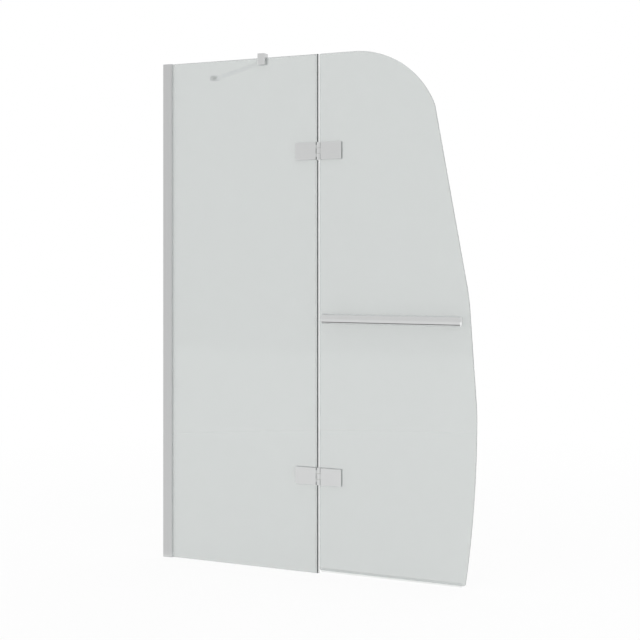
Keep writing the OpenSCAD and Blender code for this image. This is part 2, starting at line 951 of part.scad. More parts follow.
// Shouldered washers on both faces keep the bolts off the glass
module rail_glass_washers() {
    color(clear_seal_color)
        for (x = post_xs)
            translate([x, 0, rail_z])
                both_faces()
                    difference() {
                        union() {
                            rod_y(washer_r, half_t, half_t + washer_t);
                            rod_y(washer_hub_r, slip, half_t + slip);
                        }
                        rod_y(rail_bolt_r + slip, -past, half_t + washer_t + past);
                    }
}

module rail_back_caps() {
    color(chrome_color)
        for (x = post_xs)
            translate([x, post_y, rail_z])
                rotate([-90, 0, 0])
                    difference() {
                        rotate_extrude()
                            polygon([
                                [0, 0],
                                [back_cap_r, 0],
                                [back_cap_r, back_cap_t - back_cap_bevel],
                                [back_cap_r - back_cap_bevel, back_cap_t],
                                [0, back_cap_t]
                            ]);
                        rod_z(rail_bolt_r + slip, -past, back_cap_t);
                        rod_z(rail_bolt_head_r + slip, back_cap_t - rail_bolt_sink - rail_bolt_head_t, back_cap_t + past);
                    }
}

module rail_bolts() {
    head_y1 = post_y + back_cap_t - rail_bolt_sink;
    head_y0 = head_y1 - rail_bolt_head_t;
    color(steel_color)
        for (x = post_xs)
            translate([x, 0, rail_z])
                difference() {
                    union() {
                        rod_y(rail_bolt_r, -post_y - rail_thread_l, head_y0 + slip);
                        rod_y(rail_bolt_head_r, head_y0, head_y1);
                    }
                    translate([0, head_y1 - rail_key_d, 0])
                        rotate([-90, 0, 0])
                            cylinder(h = rail_key_d + past, r = rail_key_r, $fn = 6);
                }
}

// ---------------------------------------------------------------- brace arm

// A block with rounded upright edges and softened rims, slotted from below over the glass
module clamp_block() {
    x0 = clamp_x - clamp_w / 2;
    x1 = clamp_x + clamp_w / 2;
    z0 = top_z - clamp_grip;
    z1 = top_z + clamp_rise;
    color(chrome_color)
        difference() {
            intersection() {
                column(z0, z1)
                    round_rect([x0, -clamp_half_d], [x1, clamp_half_d], clamp_corner_r);
                rotate([90, 0, 0])
                    linear_extrude(clamp_d + 2 * past, center = true)
                        round_rect([x0, z0], [x1, z1], clamp_rim_r);
            }
            translate([x0 - past, -clamp_slot_y, z0 - past])
                cube([clamp_w + 2 * past, 2 * clamp_slot_y, clamp_grip + liner_t + past]);
            translate([clamp_x, 0, arm_z])
                rod_y(fork_spigot_r, 0, clamp_half_d + past);
        }
}

// Clear liner folded over the glass inside the clamp
module clamp_liner() {
    x0 = clamp_x - clamp_w / 2 + liner_inset;
    z0 = top_z - clamp_grip + liner_inset;
    color(clear_seal_color)
        difference() {
            translate([x0, -clamp_slot_y, z0])
                cube([clamp_w - 2 * liner_inset, 2 * clamp_slot_y, top_z + liner_t - z0]);
            translate([x0 - past, -half_t, z0 - past])
                cube([clamp_w + 2 * past, glass_t, top_z - z0 + past]);
        }
}

// Disc that spreads the fork's thrust over the liner
module clamp_pressure_pad() {
    color(steel_color)
        translate([clamp_x, 0, arm_z])
            rod_y(fork_spigot_r - slip, clamp_slot_y, clamp_slot_y + pad_t);
}

// Cheeks of a fork whose pin is at the origin and whose root is at -X, at distance root
module fork_cheeks(root) {
    difference() {
        union() {
            rod_z(fork_r, -fork_half_h, fork_half_h);
            translate([-root, -fork_r, -fork_half_h])
                cube([root, 2 * fork_r, foot_h]);
        }
        translate([-root, -2 * fork_r, -fork_slot / 2])
            cube([root + 2 * fork_r, 4 * fork_r, fork_slot]);
        rod_z(arm_pin_r, -fork_half_h - past, fork_half_h + past);
    }
}

// Fork on the back of the clamp: its threaded spigot is the screw that clamps the glass
module clamp_fork() {
    color(chrome_color)
        translate([clamp_x, 0, arm_z]) {
            rod_y(fork_r, clamp_half_d, clamp_half_d + fork_disc_t);
            rod_y(fork_spigot_r - running, clamp_slot_y + pad_t, clamp_half_d + slip);
            translate([0, glass_pivot[1], 0])
                rotate([0, 0, 90])
                    fork_cheeks(fork_root);
        }
}

// Solid part and fork that the arm's wall end turns in, bored for a stud in the wall
module wall_foot() {
    color(bright_color)
        translate([0, arm_foot_y, arm_z])
            difference() {
                union() {
                    rotate([90, 0, 90])
                        linear_extrude(foot_base)
                            round_rect([-foot_w / 2, -fork_half_h], [foot_w / 2, fork_half_h], foot_corner_r);
                    translate([wall_pivot[0], 0, 0])
                        fork_cheeks(wall_pivot[0] - foot_base);
                }
                rod_x(stud_bore_r, -past, stud_bore_l);
                translate([stud_bore_l / 2, 0, 0])
                    rod_z(grub_r, -fork_half_h - past, 0);
            }
}

// Locks the foot on its stud, backed out clear of the bore
module wall_foot_grub_screw() {
    color(steel_color)
        translate([stud_bore_l / 2, arm_foot_y, arm_z])
            difference() {
                rod_z(grub_r, -fork_half_h + pin_recess, -stud_bore_r - slip);
                translate([0, 0, -fork_half_h])
                    cylinder(h = grub_key_d, r = grub_key_r, $fn = 6);
            }
}

module arm_pivot_pin(p) {
    color(steel_color)
        translate([p[0], p[1], arm_z])
            rod_z(arm_pin_r, -fork_half_h + pin_recess, fork_half_h - pin_recess);
}

module clamp_pivot_pin() {
    arm_pivot_pin(glass_pivot);
}

module bracket_pivot_pin() {
    arm_pivot_pin(wall_pivot);
}

module pivot_washers(p) {
    color(plastic_color)
        translate([p[0], p[1], arm_z])
            for (side = [-1, 1])
                mirror([0, 0, side > 0 ? 0 : 1])
                    difference() {
                        rod_z(arm_washer_r, eye_half_t + running, eye_half_t + running + arm_washer_t);
                        rod_z(arm_pin_r + running, -past, foot_h);
                    }
}

module clamp_pivot_washers() {
    pivot_washers(glass_pivot);
}

module bracket_pivot_washers() {
    pivot_washers(wall_pivot);
}

// Turned end of the arm, drawn along +X with its pin hole at the origin
module arm_end_solid() {
    difference() {
        union() {
            rod_z(arm_r, -eye_half_t, eye_half_t);
            translate([0, -arm_r, -eye_half_t])
                cube([collar_x + slip, 2 * arm_r, 2 * eye_half_t]);
            rod_x(arm_r, collar_x, collar_x + collar_l);
            rod_x(arm_r - arm_wall - slip, collar_x + collar_l - slip, collar_x + collar_l + spigot_l);
        }
        rod_z(arm_pin_r + running, -eye_half_t - past, eye_half_t + past);
    }
}

// Puts a piece of the arm, drawn along +X from the glass pivot, in its place
module along_arm() {
    translate([glass_pivot[0], glass_pivot[1], arm_z])
        rotate([0, 0, arm_angle])
            children();
}

module arm_glass_end() {
    color(bright_color)
        along_arm()
            arm_end_solid();
}

module arm_wall_end() {
    color(bright_color)
        along_arm()
            translate([arm_l, 0, 0])
                rotate([0, 0, 180])
                    arm_end_solid();
}

module arm_tube() {
    x0 = collar_x + collar_l;
    color(bright_color)
        along_arm()
            difference() {
                rod_x(arm_r, x0, arm_l - x0);
                rod_x(arm_r - arm_wall, x0 - past, arm_l - x0 + past);
            }
}

// ---------------------------------------------------------------- nodes

wall_channel();
glass_profile();
profile_top_cap();
profile_bottom_cap();
front_glazing_gasket();
back_glazing_gasket();
profile_lock_screws();
profile_lock_nuts();
profile_screw_covers();
fixed_glass();
seam_seal_top();
seam_seal_middle();
seam_seal_bottom();
hinge_fixed_leaf(upper_hinge_z);  // upper_hinge_fixed_leaf
hinge_front_plate(upper_hinge_z, false);  // upper_hinge_fixed_front_plate
hinge_back_plate(upper_hinge_z, false);  // upper_hinge_fixed_back_plate
hinge_gaskets(upper_hinge_z, false);  // upper_hinge_fixed_gaskets
hinge_screws(upper_hinge_z, false);  // upper_hinge_fixed_screws
hinge_moving_leaf(upper_hinge_z);  // upper_hinge_moving_leaf
hinge_front_plate(upper_hinge_z, true);  // upper_hinge_moving_front_plate
hinge_back_plate(upper_hinge_z, true);  // upper_hinge_moving_back_plate
hinge_gaskets(upper_hinge_z, true);  // upper_hinge_moving_gaskets
hinge_screws(upper_hinge_z, true);  // upper_hinge_moving_screws
hinge_pin(upper_hinge_z);  // upper_hinge_pin
hinge_bushes(upper_hinge_z);  // upper_hinge_bushes
hinge_fixed_leaf(lower_hinge_z);  // lower_hinge_fixed_leaf
hinge_front_plate(lower_hinge_z, false);  // lower_hinge_fixed_front_plate
hinge_back_plate(lower_hinge_z, false);  // lower_hinge_fixed_back_plate
hinge_gaskets(lower_hinge_z, false);  // lower_hinge_fixed_gaskets
hinge_screws(lower_hinge_z, false);  // lower_hinge_fixed_screws
hinge_moving_leaf(lower_hinge_z);  // lower_hinge_moving_leaf
hinge_front_plate(lower_hinge_z, true);  // lower_hinge_moving_front_plate
hinge_back_plate(lower_hinge_z, true);  // lower_hinge_moving_back_plate
hinge_gaskets(lower_hinge_z, true);  // lower_hinge_moving_gaskets
hinge_screws(lower_hinge_z, true);  // lower_hinge_moving_screws
hinge_pin(lower_hinge_z);  // lower_hinge_pin
hinge_bushes(lower_hinge_z);  // lower_hinge_bushes
folding_glass();
drip_seal();
rail_tube();
rail_end_caps();
rail_posts();
rail_glass_washers();
rail_back_caps();
rail_bolts();
clamp_block();
clamp_liner();
clamp_pressure_pad();
clamp_fork();
clamp_pivot_pin();
clamp_pivot_washers();
arm_glass_end();
arm_tube();
arm_wall_end();
bracket_pivot_washers();
wall_foot();
wall_foot_grub_screw();
bracket_pivot_pin();
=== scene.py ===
"""Looks of a folding bath screen: glass, seals, metal finishes, a plain studio and its camera.

All sizes are metres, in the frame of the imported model: X along the glass away from the wall,
+Y towards the inside of the bath, +Z up, origin at half the screen's height.
"""

import json
import math

import bpy
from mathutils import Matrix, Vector

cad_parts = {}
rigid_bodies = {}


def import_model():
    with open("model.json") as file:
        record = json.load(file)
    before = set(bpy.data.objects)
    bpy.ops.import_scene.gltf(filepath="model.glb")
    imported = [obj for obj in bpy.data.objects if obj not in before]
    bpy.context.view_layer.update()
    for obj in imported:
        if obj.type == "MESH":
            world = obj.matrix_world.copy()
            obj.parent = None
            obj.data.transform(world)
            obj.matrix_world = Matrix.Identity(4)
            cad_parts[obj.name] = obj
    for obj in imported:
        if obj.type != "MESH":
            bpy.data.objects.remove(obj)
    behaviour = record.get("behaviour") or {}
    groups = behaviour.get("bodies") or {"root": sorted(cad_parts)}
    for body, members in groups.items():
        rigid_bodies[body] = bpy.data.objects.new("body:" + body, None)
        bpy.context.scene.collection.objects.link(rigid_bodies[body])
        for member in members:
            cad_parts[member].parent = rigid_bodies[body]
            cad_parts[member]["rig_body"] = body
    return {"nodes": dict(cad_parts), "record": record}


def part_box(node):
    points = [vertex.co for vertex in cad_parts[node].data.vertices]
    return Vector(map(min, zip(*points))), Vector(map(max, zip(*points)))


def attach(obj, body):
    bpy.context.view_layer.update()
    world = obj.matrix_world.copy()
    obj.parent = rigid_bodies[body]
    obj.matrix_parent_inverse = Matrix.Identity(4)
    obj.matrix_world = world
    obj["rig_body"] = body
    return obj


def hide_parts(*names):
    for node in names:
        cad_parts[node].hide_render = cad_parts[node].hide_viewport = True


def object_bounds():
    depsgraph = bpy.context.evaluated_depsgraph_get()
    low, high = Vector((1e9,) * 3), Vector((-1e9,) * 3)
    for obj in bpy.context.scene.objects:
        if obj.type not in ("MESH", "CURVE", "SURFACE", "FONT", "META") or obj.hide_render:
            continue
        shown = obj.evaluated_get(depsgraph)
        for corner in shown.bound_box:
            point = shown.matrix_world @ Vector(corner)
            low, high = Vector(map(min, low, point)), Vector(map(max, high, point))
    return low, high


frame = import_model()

bl_info = {
    "name": "Folding bath screen",
    "version": (1, 0, 0),
    "blender": (4, 5, 0),
    "location": "View3D > Sidebar > Bath screen",
    "description": "Models the glass, seals and finishes of a folding bath screen",
    "category": "Object",
}

CAD_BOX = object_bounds()
MM = 0.001

# Pieces that are the same for both hinges, or for both leaves of a hinge
HINGES = ("upper", "lower")
LEAVES = ("fixed", "moving")
FACES = ("front", "back")


# ---------------------------------------------------------------- colours and sizes

def linear(hex_colour):
    """The linear value of an sRGB colour written as #RRGGBB."""
    channels = [int(hex_colour[i:i + 2], 16) / 255 for i in (1, 3, 5)]
    return tuple(c / 12.92 if c <= 0.04045 else ((c + 0.055) / 1.055) ** 2.4 for c in channels)


def with_alpha(tint):
    """A colour as a shader's socket takes it."""
    return (*tint, 1.0)


def length(name, description, default):
    """A size that the sidebar shows in the scene's unit of length."""
    return bpy.props.FloatProperty(
        name=name, description=description, default=default, min=0.0, precision=5, unit="LENGTH"
    )


def colour(name, description, hex_colour):
    """A colour that the sidebar shows as a swatch."""
    return bpy.props.FloatVectorProperty(
        name=name, description=description, default=linear(hex_colour), min=0.0, max=1.0,
        size=3, subtype="COLOR",
    )


class BathScreenSizes(bpy.types.PropertyGroup):
    """Sizes of what is modelled here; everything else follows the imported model."""

    arris: length("Arris", "Width of the ground flat along every edge of the glass", 0.6 * MM)
    hairline: length("Hairline", "Gap between the glass and what presses on it", 0.03 * MM)
    web: length("Seal web", "Thickness of the clear web under the seam seal's core", 0.2 * MM)
    # The seam seal's dark core is painted shade: a dark strip where the gap between the panes lies
    # in shade
    core: length("Seal core", "Thickness of the dark core on the seam seal's web", 0.25 * MM)
    bulb_wall: length("Bulb wall", "Wall thickness of the seam seal's hollow bulb", 0.6 * MM)
    lip_round: length("Lip rounding", "Radius on the lips of the extruded seals", 0.45 * MM)
    vane_bow: length("Vane bow", "How far the drip seal's vane bows outwards", 0.8 * MM)
    vane_step: length("Vane step", "Notch between the drip seal's clip and its vane", 0.2 * MM)
    bead_heel: length("Bead heel", "Thickness of a glazing bead at its inner end", 1.0 * MM)
    bead_barb: length("Bead barb", "Depth of the notches between a bead's barbs", 0.5 * MM)
    metal_edge: length("Metal edge", "Rounding on the edges of the cast and milled metal", 0.35 * MM)
    sheet_edge: length("Profile edge", "Rounding on the edges of the extruded profile", 0.3 * MM)
    soft_edge: length("Soft edge", "Rounding on the edges of washers, liner and pads", 0.2 * MM)


class BathScreenColours(bpy.types.PropertyGroup):
    """Colours of the finishes, each as the real material shows it in white light."""

    glass: colour("Glass", "What a pane lets through of white light", "#DCDFDE")
    glass_edge: colour("Glass edge", "Ground and polished edge of a pane", "#E4EAE8")
    aluminium: colour("Aluminium", "Satin silver anodised extrusion", "#DEDFDF")
    chrome: colour("Chrome", "Bright chrome plate", "#EDEEEE")
    polished: colour("Arm", "Bright dipped and polished aluminium", "#F5F6F6")
    steel: colour("Steel", "Turned stainless steel", "#B4B4B2")
    pad: colour("Hinge pad", "Translucent pale grey sheet vinyl", "#D9DBDB")
    bead: colour("Glazing bead", "Translucent pale grey vinyl", "#D3D6D6")
    # The dark core's colour is painted shade of the gap between the panes
    core: colour("Seal core", "Dark core of the seam seal", "#2C2F31")
    vinyl: colour("Vinyl", "Clear extruded vinyl", "#DDE1E0")
    nylon: colour("Nylon", "White moulded nylon", "#E2E1DC")
    cap: colour("Cap", "Silver grey moulded plastic", "#BABCBD")
    floor: colour("Floor", "Pale studio floor", "#F4F4F4")


class BathScreenStage(bpy.types.PropertyGroup):
    """Where the camera stands and what it takes in."""

    eye: bpy.props.FloatVectorProperty(
        name="Eye", description="Place of the camera", default=(2.170, -3.453, 0.1645),
        size=3, subtype="TRANSLATION", unit="LENGTH",
    )
    turn: bpy.props.FloatProperty(
        name="Turn", description="Turn of the camera from the +Y direction towards -X",
        default=math.radians(25.48), subtype="ANGLE",
    )
    lens: bpy.props.FloatProperty(
        name="Lens", description="Focal length on a 36 mm sensor", default=74.5, min=10.0
    )
    horizon: bpy.props.FloatProperty(
        name="Horizon", description="Row of the horizon in the 640 pixel frame", default=256.6
    )


# ---------------------------------------------------------------- frame

def body_of(node):
    """The body that a CAD node rides on."""
    return frame["nodes"][node]["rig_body"]


def slot_of(node):
    """The record's material slot of a CAD node."""
    for part in frame["record"]["subparts"]:
        if part["node"] == node:
            return part["material_slot"]
    raise ValueError(f"the record has no part named {node}")


def stand_for(piece, *nodes):
    """The piece takes the place and body of the CAD nodes that it replaces."""
    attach(piece, body_of(nodes[0]))
    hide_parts(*nodes)


def half_thickness(node):
    """Half the thickness of a pane, whose middle plane is y = 0."""
    low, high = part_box(node)
    return (high.y - low.y) / 2


# ---------------------------------------------------------------- modelling

# Points closer than this are one point, and faces that turn less than this are one flat face
SAME_POINT = 0.001 * MM
SAME_PLANE = math.radians(0.5)
# A face counts as flat across the glass when its normal has at least this share along Y
FACES_Y = 0.99


def deselect_all():
    """Leaves edit mode and clears the selection, so that an operator acts on new work alone."""
    if bpy.context.mode != "OBJECT":
        bpy.ops.object.mode_set(mode="OBJECT")
    bpy.ops.object.select_all(action="DESELECT")


def select_only(piece):
    """Makes one piece the only selected and the active one."""
    deselect_all()
    piece.select_set(True)
    bpy.context.view_layer.objects.active = piece


def set_materials(piece, *materials):
    """Gives a piece these material slots and no others."""
    piece.data.materials.clear()
    for material in materials:
        piece.data.materials.append(material)


def select_edges(piece, wanted):
    """Selects the edges for which wanted(edge's ends, its faces' normals) is true, in edit mode."""
    bpy.ops.mesh.select_mode(type="EDGE")
    bpy.ops.mesh.select_all(action="DESELECT")
    bpy.ops.object.mode_set(mode="OBJECT")
    mesh = piece.data
    normals = {}
    for face in mesh.polygons:
        for key in face.edge_keys:
            normals.setdefault(key, []).append(face.normal.copy())
    for edge in mesh.edges:
        ends = [mesh.vertices[i].co for i in edge.vertices]
        edge.select = wanted(ends, normals.get(edge.key, []))
    bpy.ops.object.mode_set(mode="EDIT")


def finish_mesh(piece, smooth_angle=30.0):
    """Points the faces outwards and smooths what turns less than the angle, in degrees."""
    bpy.ops.object.mode_set(mode="EDIT")
    bpy.ops.mesh.select_all(action="SELECT")
    bpy.ops.mesh.normals_make_consistent(inside=False)
    bpy.ops.object.mode_set(mode="OBJECT")
    select_only(piece)
    bpy.ops.object.shade_smooth_by_angle(angle=math.radians(smooth_angle))


def copy_node(node, name):
    """A copy of a CAD node in edit mode, with doubled points merged and flat faces made whole."""
    select_only(frame["nodes"][node])
    bpy.ops.object.duplicate()
    piece = bpy.context.active_object
    piece.name = name
    bpy.ops.object.parent_clear(type="CLEAR_KEEP_TRANSFORM")
    # The marks of a CAD node don't belong on its copy
    for key in [key for key in piece.keys() if key.startswith("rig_")]:
        del piece[key]
    if piece.data.has_custom_normals:
        bpy.ops.mesh.customdata_custom_splitnormals_clear()
    bpy.ops.object.mode_set(mode="EDIT")
    bpy.ops.mesh.select_all(action="SELECT")
    bpy.ops.mesh.remove_doubles(threshold=SAME_POINT)
    bpy.ops.mesh.dissolve_limited(angle_limit=SAME_PLANE)
    return piece


def round_edges(piece, radius, corner=40.0, segments=2):
    """Rounds every edge of a piece in edit mode that turns more than the corner, in degrees."""
    def sharp(_ends, normals):
        return len(normals) == 2 and normals[0].angle(normals[1], 0.0) > math.radians(corner)

    select_edges(piece, sharp)
    bpy.ops.mesh.bevel(offset=radius, segments=segments, profile=0.5, clamp_overlap=True)
    finish_mesh(piece, corner)
    evened = piece.modifiers.new("even faces", "WEIGHTED_NORMAL")
    evened.keep_sharp = True
    bpy.ops.object.modifier_apply(modifier=evened.name)


def softened(node, name, radius, material):
    """A copy of a CAD node with rounded edges, standing for that node."""
    piece = copy_node(node, name)
    round_edges(piece, radius)
    set_materials(piece, material)
    stand_for(piece, node)


def arc(centre, radius, first, last, steps=6):
    """Points on a circle round centre, from one angle to another, in degrees."""
    angles = [math.radians(first + (last - first) * step / steps) for step in range(steps + 1)]
    return [(centre[0] + radius * math.cos(a), centre[1] + radius * math.sin(a)) for a in angles]


def bowed(start, end, bow, steps=6):
    """Points from start to end on a parabola that stands out by bow, to the left of the way."""
    start = Vector(start)
    along = Vector(end) - start
    left = Vector((-along.y, along.x)).normalized()
    shares = [step / steps for step in range(steps + 1)]
    return [tuple(start + along * share + left * bow * 4 * share * (1 - share)) for share in shares]


def draw_extrusion(name, outline, place, run):
    """Draws a closed outline point by point, fills it and extrudes it along run.

    place turns a point of the outline into one in space.
    """
    points = [Vector(place(*point)) for point in outline]
    deselect_all()
    bpy.ops.mesh.primitive_plane_add(size=MM, location=points[0])
    piece = bpy.context.active_object
    piece.name = name
    bpy.ops.object.transform_apply(location=True, rotation=True, scale=True)
    bpy.ops.object.mode_set(mode="EDIT")
    bpy.ops.mesh.select_mode(type="VERT")
    bpy.ops.mesh.select_all(action="SELECT")
    bpy.ops.mesh.merge(type="CENTER")
    for last, point in zip(points, points[1:] + points[:1]):
        bpy.ops.mesh.extrude_vertices_move(TRANSFORM_OT_translate={"value": point - last})
    bpy.ops.mesh.select_all(action="SELECT")
    bpy.ops.mesh.remove_doubles(threshold=SAME_POINT)
    bpy.ops.mesh.edge_face_add()
    bpy.ops.mesh.extrude_region_move(TRANSFORM_OT_translate={"value": Vector(run)})
    finish_mesh(piece)
    return piece


def draw_tube(centre, radius, wall, height, sides=48):
    """Draws an upright open tube round centre, with its wall inside the radius."""
    deselect_all()
    bpy.ops.mesh.primitive_cylinder_add(
        vertices=sides, radius=radius, depth=height, end_fill_type="NOTHING", location=centre
    )
    tube = bpy.context.active_object
    bpy.ops.object.transform_apply(location=True, rotation=True, scale=True)
    shell = tube.modifiers.new("wall", "SOLIDIFY")
    shell.thickness = wall
    shell.offset = -1.0
    bpy.ops.object.modifier_apply(modifier=shell.name)
    finish_mesh(tube)
    return tube


def joined(name, parts):
    """Joins parts into one piece."""
    deselect_all()
    for part in parts:
        part.select_set(True)
    bpy.context.view_layer.objects.active = parts[0]
    bpy.ops.object.join()
    parts[0].name = name
    return parts[0]


# ---------------------------------------------------------------- material nodes

# Index of refraction of soda-lime glass, and the share of it that is clear; the rest is haze
GLASS_IOR = 1.52
CLARITY = 0.8
# A wave texture of scale 1 repeats after this length
WAVE_PITCH = 0.314
# Draws a pattern out along Z, as a die or a draw bench does
ALONG_Z = (1.0, 1.0, 0.01)
# Most of a noise pattern lies between these values
NOISE_LOW, NOISE_HIGH = 0.25, 0.75
# A stain begins to lighten and is gone at these values of its pattern
STAIN_LOW, STAIN_HIGH = 0.3, 0.7
WHITE = (1.0, 1.0, 1.0, 1.0)


def add_node(tree, kind, values=None, links=None):
    """Adds a node to a tree, sets its sockets or properties and links its inputs."""
    node = tree.nodes.new(kind)
    for name, value in (values or {}).items():
        if isinstance(name, int) or name in node.inputs:
            node.inputs[name].default_value = value
        else:
            setattr(node, name, value)
    for name, source in (links or {}).items():
        tree.links.new(source, node.inputs[name])
    return node


def start_material(name):
    """An empty node material, its tree and its output node."""
    material = bpy.data.materials.new(name)
    material.use_nodes = True
    material.node_tree.nodes.clear()
    tree = material.node_tree
    return material, tree, add_node(tree, "ShaderNodeOutputMaterial")


def place_on(tree, stretch=(1.0, 1.0, 1.0)):
    """Object coordinates, scaled along each axis; a small scale draws a pattern out."""
    coords = add_node(tree, "ShaderNodeTexCoord")
    return add_node(
        tree, "ShaderNodeMapping", {"Scale": stretch}, {"Vector": coords.outputs["Object"]}
    ).outputs["Vector"]


def pattern(tree, width, stretch=(1.0, 1.0, 1.0), detail=2.0):
    """Uneven pattern that lies on the object, with features about width metres wide."""
    return add_node(
        tree, "ShaderNodeTexNoise", {"Scale": 1.0 / width, "Detail": detail},
        {"Vector": place_on(tree, stretch)},
    ).outputs["Fac"]


def surface(tree, stain=None, sheen=None, relief=None):
    """What the patterns of a surface drive on its shader, as links by socket.

    stain is a pattern, a tint and the share of its light that the darkest marks take; sheen is
    a pattern, the least and the most roughness; relief is a pattern and its depth in metres.
    """
    links = {}
    if stain:
        marks, tint, share = stain
        ramp = add_node(tree, "ShaderNodeValToRGB", links={"Fac": marks})
        dark, light = ramp.color_ramp.elements
        dark.position, light.position = STAIN_LOW, STAIN_HIGH
        dark.color = with_alpha([channel * (1.0 - share) for channel in tint])
        light.color = with_alpha(tint)
        links["Base Color"] = ramp.outputs["Color"]
    if sheen:
        haze, least, most = sheen
        links["Roughness"] = add_node(
            tree, "ShaderNodeMapRange",
            {"From Min": NOISE_LOW, "From Max": NOISE_HIGH, "To Min": least, "To Max": most},
            {"Value": haze},
        ).outputs["Result"]
    if relief:
        height, depth = relief
        links["Normal"] = add_node(
            tree, "ShaderNodeBump", {"Strength": 1.0, "Distance": depth}, {"Height": height}
        ).outputs["Normal"]
    return links


def let_lamps_through(tree, output, glass, tint):
    """Shows the glass, but lets light from the lamps pass tinted to what is behind."""
    path = add_node(tree, "ShaderNodeLightPath")
    clear = add_node(tree, "ShaderNodeBsdfTransparent", {"Color": with_alpha(tint)})
    mixed = add_node(
        tree, "ShaderNodeMixShader",
        links={0: path.outputs["Is Shadow Ray"], 1: glass.outputs[0], 2: clear.outputs[0]},
    )
    tree.links.new(mixed.outputs[0], output.inputs["Surface"])


# ---------------------------------------------------------------- materials

def toughened_glass(tint):
    """Toughened float glass: mirror smooth, with the faint ripple that the rollers leave."""
    material, tree, output = start_material("toughened float glass")
    # The rollers of the furnace leave waves about 280 mm apart
    roller_pitch = 280 * MM
    waves = add_node(
        tree, "ShaderNodeTexWave",
        {"bands_direction": "Z", "Scale": WAVE_PITCH / roller_pitch}, {"Vector": place_on(tree)},
    ).outputs["Fac"]
    # Dried mist leaves slightly duller clouds, about 90 mm wide
    clouds = pattern(tree, 90 * MM)
    links = surface(tree, sheen=(clouds, 0.0, 0.03), relief=(waves, 0.01 * MM))
    glass = add_node(
        tree, "ShaderNodeBsdfPrincipled",
        {"Base Color": with_alpha(tint), "IOR": GLASS_IOR, "Transmission Weight": CLARITY}, links,
    )
    let_lamps_through(tree, output, glass, tint)
    return material


def polished_glass_edge(tint):
    """Ground and polished edge: pale, with the faint green of the iron in the glass."""
    material, tree, output = start_material("polished glass edge")
    # The polishing belt leaves marks about 1.5 mm apart, drawn out across the edge
    marks = pattern(tree, 1.5 * MM, (1.0, 0.1, 1.0))
    links = surface(tree, stain=(marks, tint, 0.08), sheen=(marks, 0.06, 0.14))
    edge = add_node(
        tree, "ShaderNodeBsdfPrincipled", {"IOR": GLASS_IOR, "Transmission Weight": CLARITY}, links
    )
    let_lamps_through(tree, output, edge, tint)
    return material


def anodised_aluminium(tint):
    """Satin silver anodised extrusion: fine die lines run its whole length under a matt skin."""
    material, tree, output = start_material("satin anodised aluminium")
    # Die lines are about 0.4 mm apart, and drawn 0.9 mm apart to show in the render
    lines = pattern(tree, 0.9 * MM, (1.0, 1.0, 0.004), detail=3.0)
    # The matt skin's fine grain is drawn 0.5 mm wide
    skin = pattern(tree, 0.5 * MM)
    links = surface(
        tree, stain=(lines, tint, 0.05), sheen=(skin, 0.3, 0.4), relief=(lines, 0.004 * MM)
    )
    metal = add_node(tree, "ShaderNodeBsdfPrincipled", {"Metallic": 1.0}, links)
    tree.links.new(metal.outputs[0], output.inputs["Surface"])
    return material


def chrome_plate(tint):
    """Bright chrome plate on polished brass: a mirror with a trace of the buffing wheel."""
    material, tree, output = start_material("bright chrome plate")
    # Buffing leaves swells about 6 mm wide and a haze that changes over 25 mm
    swells = pattern(tree, 6 * MM)
    haze = pattern(tree, 25 * MM)
    links = surface(
        tree, stain=(haze, tint, 0.02), sheen=(haze, 0.05, 0.11), relief=(swells, 0.004 * MM)
    )
    metal = add_node(tree, "ShaderNodeBsdfPrincipled", {"Metallic": 1.0}, links)
    tree.links.new(metal.outputs[0], output.inputs["Surface"])
    return material


def polished_aluminium(tint):
    """Bright dipped, polished aluminium: nearly white, with faint marks of the polishing."""
    material, tree, output = start_material("polished aluminium")
    # Polishing marks are about 1.2 mm wide, and the haze changes over 30 mm
    marks = pattern(tree, 1.2 * MM)
    haze = pattern(tree, 30 * MM)
    links = surface(
        tree, stain=(haze, tint, 0.02), sheen=(haze, 0.06, 0.12), relief=(marks, 0.003 * MM)
    )
    metal = add_node(tree, "ShaderNodeBsdfPrincipled", {"Metallic": 1.0}, links)
    tree.links.new(metal.outputs[0], output.inputs["Surface"])
    return material


def turned_steel(tint):
    """Turned stainless steel: a soft gloss broken up by the cutter's fine marks."""
    material, tree, output = start_material("turned stainless steel")
    # The cutter's marks are about 0.15 mm apart, and drawn 0.4 mm apart to show close up
    marks = pattern(tree, 0.4 * MM, detail=4.0)
    links = surface(
        tree, stain=(marks, tint, 0.1), sheen=(marks, 0.2, 0.34), relief=(marks, 0.003 * MM)
    )
    metal = add_node(tree, "ShaderNodeBsdfPrincipled", {"Metallic": 1.0}, links)
    tree.links.new(metal.outputs[0], output.inputs["Surface"])
    return material


def extruded_rubber(tint):
    """Dark extruded rubber for the seam seal's core, which paints the shade of the gap between the
    panes: matt, with faint drag lines and a slight bloom.
    """
    material, tree, output = start_material("dark seal core")
    # Drag lines from the die are 0.6 mm apart, and the bloom lies in patches of 12 mm
    drag = pattern(tree, 0.6 * MM, ALONG_Z)
    bloom = pattern(tree, 12 * MM)
    links = surface(
        tree, stain=(bloom, tint, 0.12), sheen=(bloom, 0.5, 0.65), relief=(drag, 0.02 * MM)
    )
    rubber = add_node(tree, "ShaderNodeBsdfPrincipled", {"IOR": 1.52}, links)
    tree.links.new(rubber.outputs[0], output.inputs["Surface"])
    return material


def thin_vinyl(name, tint, cover):
    """Vinyl that hides a share of what is behind it: soft gloss, with flow lines along it."""
    material, tree, output = start_material(name)
    # Flow lines are 0.8 mm apart
    flow = pattern(tree, 0.8 * MM, ALONG_Z)
    links = surface(
        tree, stain=(flow, tint, 0.08), sheen=(flow, 0.15, 0.3), relief=(flow, 0.01 * MM)
    )
    vinyl = add_node(tree, "ShaderNodeBsdfPrincipled", {"IOR": 1.53, "Alpha": cover}, links)
    tree.links.new(vinyl.outputs[0], output.inputs["Surface"])
    return material


